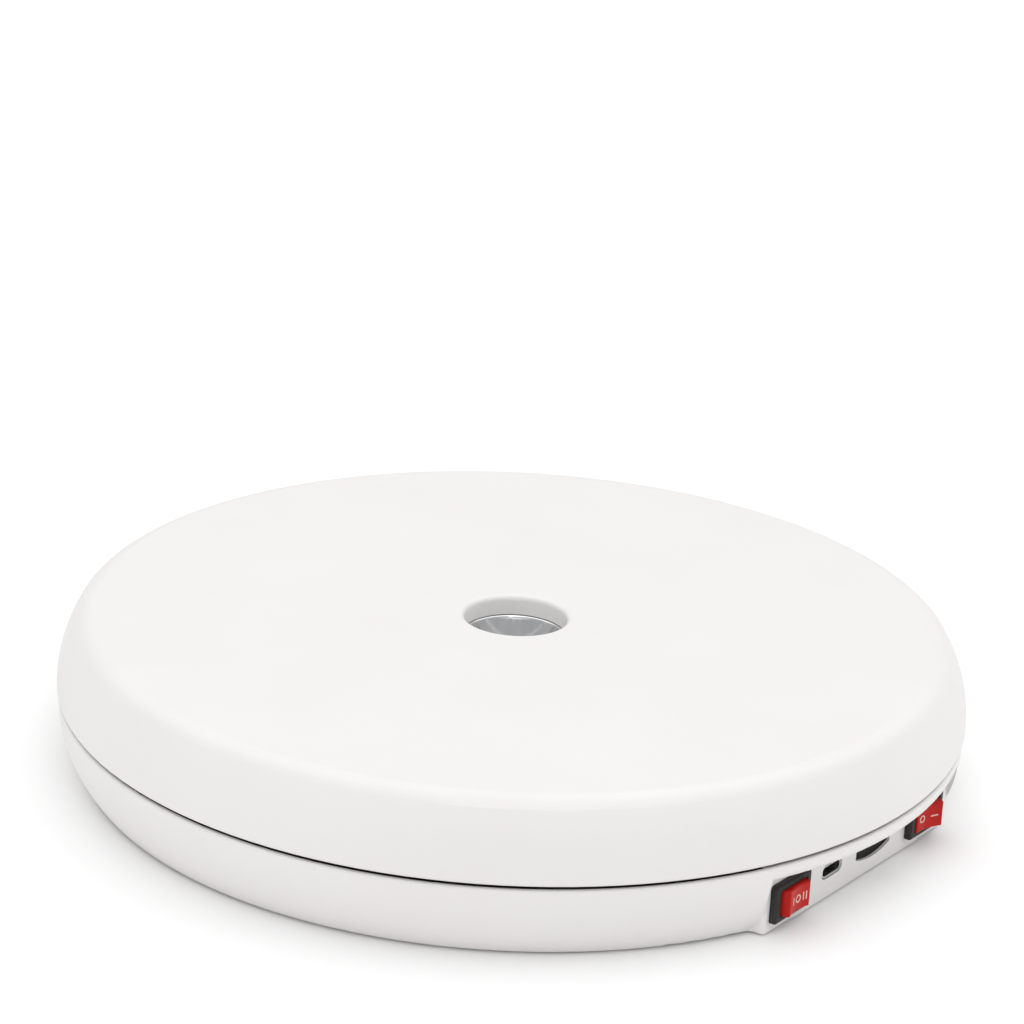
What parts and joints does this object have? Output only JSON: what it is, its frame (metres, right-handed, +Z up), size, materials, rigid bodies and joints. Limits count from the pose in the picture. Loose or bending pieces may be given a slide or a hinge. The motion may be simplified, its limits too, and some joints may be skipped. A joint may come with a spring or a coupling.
{
  "type": "turntable display stand",
  "caption": "Motorised round display stand: a white platter turns on a shallow bowl base around a lit mirrored well, with a side control panel.",
  "frame": {"origin": "on the standing plane, below the centre of the platter", "axes": "+Z up along the platter's axis of rotation, control panel facing -Y, +X to the right seen from the panel side"},
  "size_m": [0.25, 0.25, 0.043],
  "materials": {
    "white_shell": "fine matte",
    "rubber_foot": "matte",
    "dark_deck": "matte",
    "steel_screw": "zinc plated",
    "grey_column": "matte",
    "bearing_steel": "ground",
    "bearing_brass": "satin",
    "mirror_chrome": "mirror",
    "lamp_board": "white coated",
    "lamp_chip": "gloss",
    "gear_plastic": "matte",
    "shaft_steel": "ground",
    "motor_metal": "plated",
    "bracket_plastic": "matte",
    "roller_nylon": "satin",
    "switch_black": "satin",
    "switch_red": "satin",
    "terminal_brass": "plated",
    "board_green": "solder mask",
    "socket_steel": "plated",
    "socket_black": "matte",
    "lamp_lens": "translucent grey",
    "battery_wrap": "satin",
    "speaker_metal": "plated",
    "speaker_paper": "matte",
    "lead_jacket": "satin"
  },
  "bodies": {
    "base": {"base_shell": "white_shell", "foot_1": "rubber_foot", "foot_2": "rubber_foot", "foot_3": "rubber_foot", "foot_4": "rubber_foot", "deck_plate": "dark_deck", "deck_screws": "steel_screw", "center_column": "grey_column", "column_screws": "steel_screw", "retaining_ring": "bearing_steel", "bearing_inner_race": "bearing_steel", "reflector_cup": "mirror_chrome", "led_board": "lamp_board", "led_emitter": "lamp_chip", "motor_case": "motor_metal", "motor_screws": "steel_screw", "roller_bracket_1": "bracket_plastic", "roller_bracket_2": "bracket_plastic", "roller_bracket_3": "bracket_plastic", "roller_bracket_4": "bracket_plastic", "roller_axle_1": "shaft_steel", "roller_axle_2": "shaft_steel", "roller_axle_3": "shaft_steel", "roller_axle_4": "shaft_steel", "bracket_screws": "steel_screw", "left_switch_housing": "switch_black", "right_switch_housing": "switch_black", "left_switch_terminals": "terminal_brass", "right_switch_terminals": "terminal_brass", "main_board": "board_green", "board_screws": "steel_screw", "usb_port_shell": "socket_steel", "usb_port_tongue": "socket_black", "card_socket": "socket_black", "indicator_lamp": "lamp_lens", "battery_pack": "battery_wrap", "speaker_frame": "speaker_metal", "speaker_cone": "speaker_paper", "speaker_magnet": "speaker_metal", "motor_lead": "lead_jacket", "led_lead": "lead_jacket", "battery_lead": "lead_jacket", "speaker_lead": "lead_jacket"},
    "platter": {"platter_top": "white_shell", "hub_gear": "gear_plastic", "gear_screws": "steel_screw", "bearing_outer_race": "bearing_steel"},
    "ball_cage": {"bearing_cage": "bearing_brass", "bearing_balls": "bearing_steel"},
    "motor_output": {"motor_shaft": "shaft_steel", "pinion": "gear_plastic"},
    "roller_body_1": {"roller_1": "roller_nylon"},
    "roller_body_2": {"roller_2": "roller_nylon"},
    "roller_body_3": {"roller_3": "roller_nylon"},
    "roller_body_4": {"roller_4": "roller_nylon"},
    "left_rocker_body": {"left_rocker": "switch_red"},
    "right_rocker_body": {"right_rocker": "switch_red"}
  },
  "joints": [
    {"name": "platter_spin", "type": "hinge", "parent": "base", "child": "platter", "pos_m": [0, 0, 0.031], "axis": [0, 0, 1], "continuous": true},
    {"name": "cage_spin", "type": "hinge", "parent": "base", "child": "ball_cage", "pos_m": [0, 0, 0.031], "axis": [0, 0, 1], "continuous": true},
    {"name": "pinion_spin", "type": "hinge", "parent": "base", "child": "motor_output", "pos_m": [0, 0.04515, 0.025], "axis": [0, 0, 1], "continuous": true},
    {"name": "roller_spin_1", "type": "hinge", "parent": "base", "child": "roller_body_1", "pos_m": [0.07071, 0.07071, 0.028], "axis": [0.7071, 0.7071, 0], "continuous": true},
    {"name": "roller_spin_2", "type": "hinge", "parent": "base", "child": "roller_body_2", "pos_m": [-0.07071, 0.07071, 0.028], "axis": [-0.7071, 0.7071, 0], "continuous": true},
    {"name": "roller_spin_3", "type": "hinge", "parent": "base", "child": "roller_body_3", "pos_m": [-0.07071, -0.07071, 0.028], "axis": [-0.7071, -0.7071, 0], "continuous": true},
    {"name": "roller_spin_4", "type": "hinge", "parent": "base", "child": "roller_body_4", "pos_m": [0.07071, -0.07071, 0.028], "axis": [0.7071, -0.7071, 0], "continuous": true},
    {"name": "left_switch", "type": "hinge", "parent": "base", "child": "left_rocker_body", "pos_m": [-0.0338, -0.11185, 0.00835], "axis": [0, 0, 1], "range_deg": [-15, 15]},
    {"name": "right_switch", "type": "hinge", "parent": "base", "child": "right_rocker_body", "pos_m": [0.03245, -0.11185, 0.00835], "axis": [0, 0, 1], "range_deg": [0, 30]}
  ],
  "couplings": [
    {"joint": "cage_spin", "follows": "platter_spin", "ratio": 0.53804},
    {"joint": "pinion_spin", "follows": "platter_spin", "ratio": -5},
    {"joint": "roller_spin_1", "follows": "platter_spin", "ratio": -20},
    {"joint": "roller_spin_2", "follows": "platter_spin", "ratio": -20},
    {"joint": "roller_spin_3", "follows": "platter_spin", "ratio": -20},
    {"joint": "roller_spin_4", "follows": "platter_spin", "ratio": -20}
  ]
}
